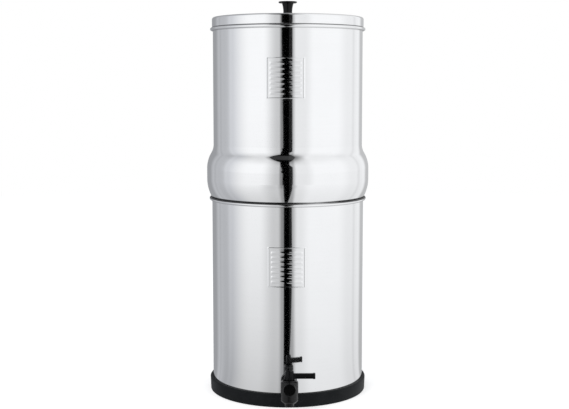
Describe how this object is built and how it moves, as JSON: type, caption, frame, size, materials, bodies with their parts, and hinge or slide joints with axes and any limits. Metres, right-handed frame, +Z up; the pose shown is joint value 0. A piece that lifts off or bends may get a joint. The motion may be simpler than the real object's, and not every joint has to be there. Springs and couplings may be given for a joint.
{
  "type": "gravity water filter with tap",
  "caption": "Stacked round steel water filter with a domed shoulder, knobbed lid, rubber base ring and a lever tap low at the front.",
  "frame": {"origin": "on the axis of the stacked chambers, in the plane on which the base ring rests", "axes": "+Z up along the axis of the chambers; the tap points to -Y; its lever points to +X when closed"},
  "size_m": [0.2302, 0.2774, 0.555],
  "materials": {
    "polished_steel": "polished",
    "plain_steel": "satin",
    "black_rubber": "satin",
    "tap_plastic": "satin",
    "valve_plastic": "satin",
    "knob_plastic": "gloss",
    "white_ceramic": "matte",
    "carbon_block": "matte",
    "white_plastic": "satin",
    "pale_rubber": "matte"
  },
  "bodies": {
    "base": {"lower_chamber": "polished_steel", "base_ring": "black_rubber", "tap_body": "tap_plastic", "tap_gland": "tap_plastic", "tap_outer_washer": "black_rubber", "tap_inner_washer": "black_rubber", "tap_nut": "tap_plastic"},
    "tap_valve": {"tap_plug": "valve_plastic", "tap_plug_seals": "black_rubber", "tap_lever": "tap_plastic"},
    "upper": {"upper_chamber": "polished_steel", "candle_shell_left": "white_ceramic", "candle_core_left": "carbon_block", "candle_mount_left": "white_plastic", "candle_washer_left": "pale_rubber", "candle_nut_left": "white_plastic", "candle_shell_right": "white_ceramic", "candle_core_right": "carbon_block", "candle_mount_right": "white_plastic", "candle_washer_right": "pale_rubber", "candle_nut_right": "white_plastic", "blank_plug_front": "white_plastic", "blank_washer_front": "pale_rubber", "blank_nut_front": "white_plastic", "blank_plug_back": "white_plastic", "blank_washer_back": "pale_rubber", "blank_nut_back": "white_plastic"},
    "lid": {"lid_pan": "polished_steel", "lid_knob": "knob_plastic", "knob_washer": "plain_steel", "knob_screw": "plain_steel"}
  },
  "joints": [
    {"name": "tap_turn", "type": "hinge", "parent": "base", "child": "tap_valve", "pos_m": [0, -0.15, 0.038], "axis": [0, 0, -1], "range_deg": [0, 90]},
    {"name": "upper_lift", "type": "slide", "parent": "base", "child": "upper", "axis": [0, 0, 1], "range_m": [0, 0.2]},
    {"name": "lid_lift", "type": "slide", "parent": "upper", "child": "lid", "axis": [0, 0, 1], "range_m": [0, 0.15]}
  ]
}
